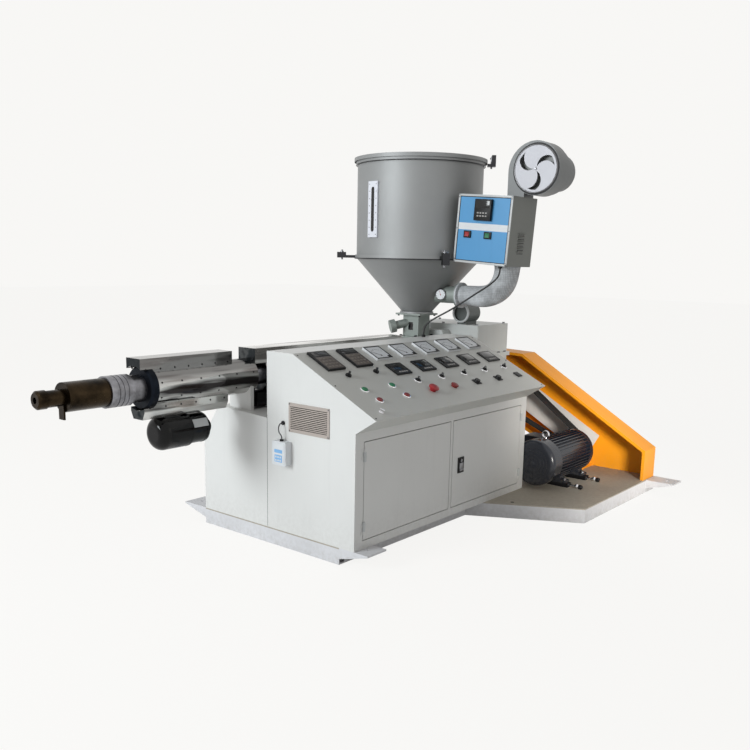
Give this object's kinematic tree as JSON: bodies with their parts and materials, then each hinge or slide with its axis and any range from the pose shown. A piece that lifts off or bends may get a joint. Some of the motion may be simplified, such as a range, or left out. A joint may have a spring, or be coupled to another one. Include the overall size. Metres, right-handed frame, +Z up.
{
  "type": "plastic extruder",
  "caption": "Single-screw plastic extruder with hopper dryer, polished barrel covers, gearbox, belt-driven motor and a console cabinet with hinged doors.",
  "frame": {"origin": "on the floor under the screw's axis, in the middle of the base frame's rail at the die end", "axes": "+X along the screw from the die to the drive, +Y away from the control panel, +Z up"},
  "size_m": [4.162, 2.271, 2.4943],
  "materials": {
    "frame_paint": "satin",
    "cabinet_paint": "satin",
    "machine_paint": "satin",
    "polished_cover": "polished",
    "machined_steel": "turned",
    "heat_stained_steel": "turned, stained by heat",
    "dark_iron": "rough",
    "hopper_steel": "brushed",
    "fan_paint": "satin",
    "dryer_blue": "satin",
    "duct_wrap": "woven",
    "motor_paint": "satin",
    "blower_paint": "satin",
    "guard_orange": "satin",
    "belt_rubber": "matt",
    "instrument_black": "matt",
    "instrument_white": "matt",
    "button_plastic": "glossy",
    "cable_sheath": "matt",
    "cable_grey": "matt"
  },
  "bodies": {
    "machine": {"air_duct": "duct_wrap", "barrel": "machined_steel", "barrel_blower": "blower_paint", "barrel_flange": "heat_stained_steel", "barrel_support": "cabinet_paint", "base_cross_rails": "frame_paint", "base_long_rails": "frame_paint", "belt_back_plate": "machine_paint", "belt_guard": "guard_orange", "cabinet_back": "cabinet_paint", "cabinet_floor": "cabinet_paint", "cable_glands": "instrument_black", "console_panel": "cabinet_paint", "deck_plate": "frame_paint", "die_adaptor": "heat_stained_steel", "die_end_panel": "cabinet_paint", "door_frame": "cabinet_paint", "drive_belts": "belt_rubber", "drive_end_panel": "cabinet_paint", "drive_keypads": "instrument_black", "drive_pulleys": "machined_steel", "dryer_box": "hopper_steel", "dryer_cable": "cable_sheath", "dryer_fan": "fan_paint", "dryer_inlet": "hopper_steel", "dryer_panel": "dryer_blue", "feed_block": "dark_iron", "floor_ears": "frame_paint", "front_cover": "polished_cover", "front_hood": "polished_cover", "gearbox": "machine_paint", "gearbox_stand": "machine_paint", "grooved_collar": "machined_steel", "hopper_clamps": "machined_steel", "hopper_cone": "hopper_steel", "hopper_cylinder": "hopper_steel", "hopper_lid": "hopper_steel", "hopper_throat": "hopper_steel", "junction_box": "instrument_white", "junction_cable": "cable_grey", "lower_hood": "polished_cover", "motor_body": "motor_paint", "motor_cowl": "motor_paint", "oil_pump": "machine_paint", "panel_meters": "instrument_white", "platform_rim": "frame_paint", "push_buttons": "button_plastic", "rear_cover": "polished_cover", "rear_housing": "cabinet_paint", "selector_switches": "instrument_black", "sight_glass": "machined_steel", "slide_rails": "dark_iron", "temperature_controllers": "instrument_black", "thrust_housing": "machine_paint", "vent_grille": "instrument_white"},
    "left_door": {"left_door": "cabinet_paint"},
    "right_door": {"right_door": "cabinet_paint", "door_latch": "instrument_black"}
  },
  "joints": [
    {"name": "left_door_hinge", "type": "hinge", "parent": "machine", "child": "left_door", "pos_m": [0.0505, -0.985, 0.433], "axis": [0, 0, -1], "range_deg": [0, 100]},
    {"name": "right_door_hinge", "type": "hinge", "parent": "machine", "child": "right_door", "pos_m": [1.7615, -0.985, 0.433], "axis": [0, 0, 1], "range_deg": [0, 100]}
  ]
}
